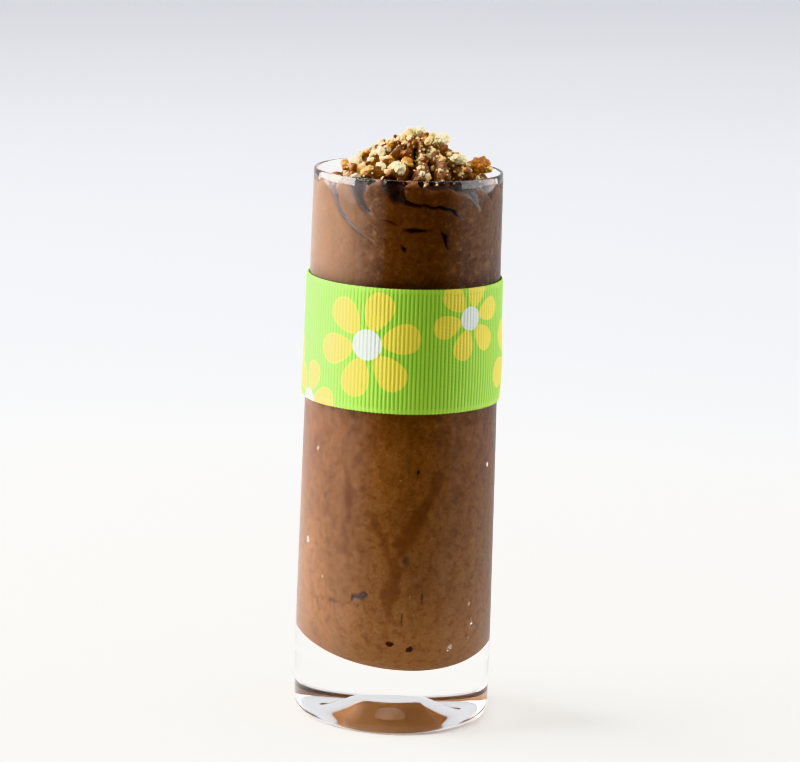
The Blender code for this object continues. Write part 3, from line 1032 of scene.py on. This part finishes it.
def light_panel(name, radius, height, shine, extra=0.0):
    """Panel round the axis that the camera doesn't see directly.

    Its light runs evenly between the bearings given, and each row of it adds its own extra light.
    """
    bearing = np.linspace(shine[0][0], shine[-1][0], 181)[None, :]
    grid = round_grid(radius[:, None], height[:, None], np.radians(bearing) - math.pi / 2)
    radiance = np.interp(bearing, *zip(*shine)) + np.full(len(height), extra)[:, None]
    quads = grid_faces(*grid.shape[:2], wrap=False)
    panel = mesh_piece(name.replace(" ", "_"), grid, quads, tone=radiance)
    finish = Finish(name, Specular_IOR_Level=0.0, Emission_Strength=1.0)
    finish.shader.inputs["Base Color"].default_value = (0, 0, 0, 1)
    finish.drive("Emission Color", finish.tone(output="Color"))
    panel.data.materials.append(finish.material)
    panel.visible_camera = False
    return panel


CAMERA_DISTANCE = 0.6406
CAMERA_HEIGHT = 0.1962
CAMERA_PITCH = 0.1954
CAMERA_ROLL = 0.0347
CAMERA_YAW = 0.00045
CAMERA_LENS_MM = 143.26


def place_camera():
    """Long lens a little above the rim, looking slightly down, held a touch off level."""
    lens = bpy.data.cameras.new("camera")
    lens.lens = CAMERA_LENS_MM
    lens.sensor_width = 36
    lens.clip_start = 0.01
    lens.clip_end = 50
    camera = bpy.data.objects.new("camera", lens)
    aim = Matrix.Rotation(math.pi / 2 - CAMERA_PITCH, 4, "X") @ Matrix.Rotation(CAMERA_ROLL, 4, "Z")
    turn = Matrix.Rotation(CAMERA_YAW, 4, "Z")
    camera.matrix_world = Matrix.Translation((0, -CAMERA_DISTANCE, CAMERA_HEIGHT)) @ turn @ aim
    bpy.context.scene.collection.objects.link(camera)
    bpy.context.scene.camera = camera


# Add-on.


def colour_property(name, description, default):
    return FloatVectorProperty(name=name, description=description, default=default, subtype="COLOR",
                               size=3, min=0, max=1)


class MousseSizes(bpy.types.PropertyGroup):
    groove_depth: FloatProperty(
        name="Groove depth", description="Depth of the grooves between the piped ridges",
        default=4.2 * MM, min=0, max=6 * MM, subtype="DISTANCE", unit="LENGTH")
    swirl_turn: FloatProperty(
        name="Swirl turn", description="How far the ridges wind from the wall to the peak",
        default=0.45, min=-3.0, max=3.0, subtype="ANGLE", unit="ROTATION")
    rib_pitch: FloatProperty(
        name="Rib pitch", description="Spacing of the ribbon's woven ribs",
        default=0.83 * MM, min=0.4 * MM, max=2 * MM, subtype="DISTANCE", unit="LENGTH")
    ribbon_thickness: FloatProperty(
        name="Ribbon thickness", description="Thickness of the ribbon over its ribs",
        default=0.40 * MM, min=0.2 * MM, max=1 * MM, subtype="DISTANCE", unit="LENGTH")


class MousseColours(bpy.types.PropertyGroup):
    mousse: colour_property("Mousse", "Main colour of the mousse", (0.272, 0.115, 0.047))
    mousse_dark: colour_property("Mousse, dark", "Dark clouds in the mousse", (0.132, 0.049, 0.021))
    # Pale foam, and also painted light: low down, and on the swirl's left at the wall.
    pale_foam_and_painted_light: colour_property("Mousse, pale", "Fine foam in the mousse", (0.41, 0.205, 0.088))
    # Dense streaks, and also painted shade in the hollows, slits and grooves.
    deep_streaks_and_painted_shade: colour_property("Mousse, deep", "Dense streaks in the mousse", (0.10, 0.024, 0.005))
    pit: colour_property("Pit", "Shaded hollows in the mousse", (0.02, 0.008, 0.004))
    # Painted glints: the white of the light hollows.
    cream: colour_property("Cream", "Pale flecks in the mousse", (0.90, 0.84, 0.74))
    crumb_cream: colour_property("Crumb, cream", "Inside of a crumb", (0.88, 0.80, 0.52))
    crumb_golden: colour_property("Crumb, golden", "Lightly baked crumb", (0.82, 0.58, 0.19))
    crumb_toasted: colour_property("Crumb, toasted", "Well baked crumb", (0.62, 0.24, 0.035))
    crumb_brown: colour_property("Crumb, brown", "Dark crust", (0.20, 0.06, 0.012))
    ribbon_green: colour_property("Ribbon", "Ribs of the ribbon", (0.38, 0.64, 0.085))
    # Painted shade in the grooves between the ribs and in the stitch holes.
    ribbon_groove_shade: colour_property("Ribbon grooves", "Grooves between the ribs", (0.15, 0.39, 0.035))
    petal: colour_property("Petals", "Printed petals", (0.76, 0.655, 0.09))
    # Painted shade in the grooves, on the petals and the centres.
    petal_groove_shade: colour_property("Petal grooves", "Petals in the grooves", (0.50, 0.43, 0.055))
    daisy_white: colour_property("Daisy centre", "Printed centres", (0.69, 0.735, 0.68))
    white_groove_shade: colour_property("Centre grooves", "Centres in the grooves", (0.52, 0.60, 0.50))
    floor_near: colour_property("Floor", "Floor near the glass", (0.90, 0.885, 0.85))
    floor_far: colour_property("Far floor", "Floor towards the horizon", (0.81, 0.82, 0.85))


class MOUSSE_OT_glass(bpy.types.Operator):
    """Build the clear shooter glass"""

    bl_idname = "mousse.glass"
    bl_label = "Glass"

    def execute(self, context):
        build_glass()
        return {"FINISHED"}


class MOUSSE_OT_filling(bpy.types.Operator):
    """Build the mousse against the glass and the piped swirl on top"""

    bl_idname = "mousse.filling"
    bl_label = "Mousse"

    def execute(self, context):
        build_filling(context.scene.mousse_colours)
        build_swirl(context.scene.mousse_sizes, context.scene.mousse_colours)
        return {"FINISHED"}


class MOUSSE_OT_crumbs(bpy.types.Operator):
    """Scatter the biscuit crumbs over the swirl"""

    bl_idname = "mousse.crumbs"
    bl_label = "Crumbs"

    def execute(self, context):
        build_crumbs(context.scene.mousse_sizes, context.scene.mousse_colours)
        return {"FINISHED"}


class MOUSSE_OT_ribbon(bpy.types.Operator):
    """Wind the daisy-print ribbon round the glass"""

    bl_idname = "mousse.ribbon"
    bl_label = "Ribbon"

    def execute(self, context):
        build_ribbon(context.scene.mousse_sizes, context.scene.mousse_colours)
        return {"FINISHED"}


class MOUSSE_OT_stage(bpy.types.Operator):
    """Lay the floor and set the lights and the camera"""

    bl_idname = "mousse.stage"
    bl_label = "Stage"

    def execute(self, context):
        build_stage(context.scene.mousse_colours)
        return {"FINISHED"}


OPERATORS = (MOUSSE_OT_glass, MOUSSE_OT_filling, MOUSSE_OT_crumbs, MOUSSE_OT_ribbon, MOUSSE_OT_stage)


class MOUSSE_PT_sidebar(bpy.types.Panel):
    """Lists the pieces' operators"""

    bl_idname = "MOUSSE_PT_sidebar"
    bl_label = "Chocolate Mousse"
    bl_space_type = "VIEW_3D"
    bl_region_type = "UI"
    bl_category = "Mousse"

    def draw(self, context):
        for operator in OPERATORS:
            self.layout.operator(operator.bl_idname)


CLASSES = (MousseSizes, MousseColours, *OPERATORS, MOUSSE_PT_sidebar)


def register():
    for cls in CLASSES:
        bpy.utils.register_class(cls)
    bpy.types.Scene.mousse_sizes = PointerProperty(type=MousseSizes)
    bpy.types.Scene.mousse_colours = PointerProperty(type=MousseColours)


def unregister():
    del bpy.types.Scene.mousse_colours
    del bpy.types.Scene.mousse_sizes
    for cls in reversed(CLASSES):
        bpy.utils.unregister_class(cls)


def main():
    """Builds every piece and the stage."""
    register()
    bpy.ops.mousse.glass()
    bpy.ops.mousse.filling()
    bpy.ops.mousse.crumbs()
    bpy.ops.mousse.ribbon()
    bpy.ops.mousse.stage()


if __name__ == "__main__":
    main()
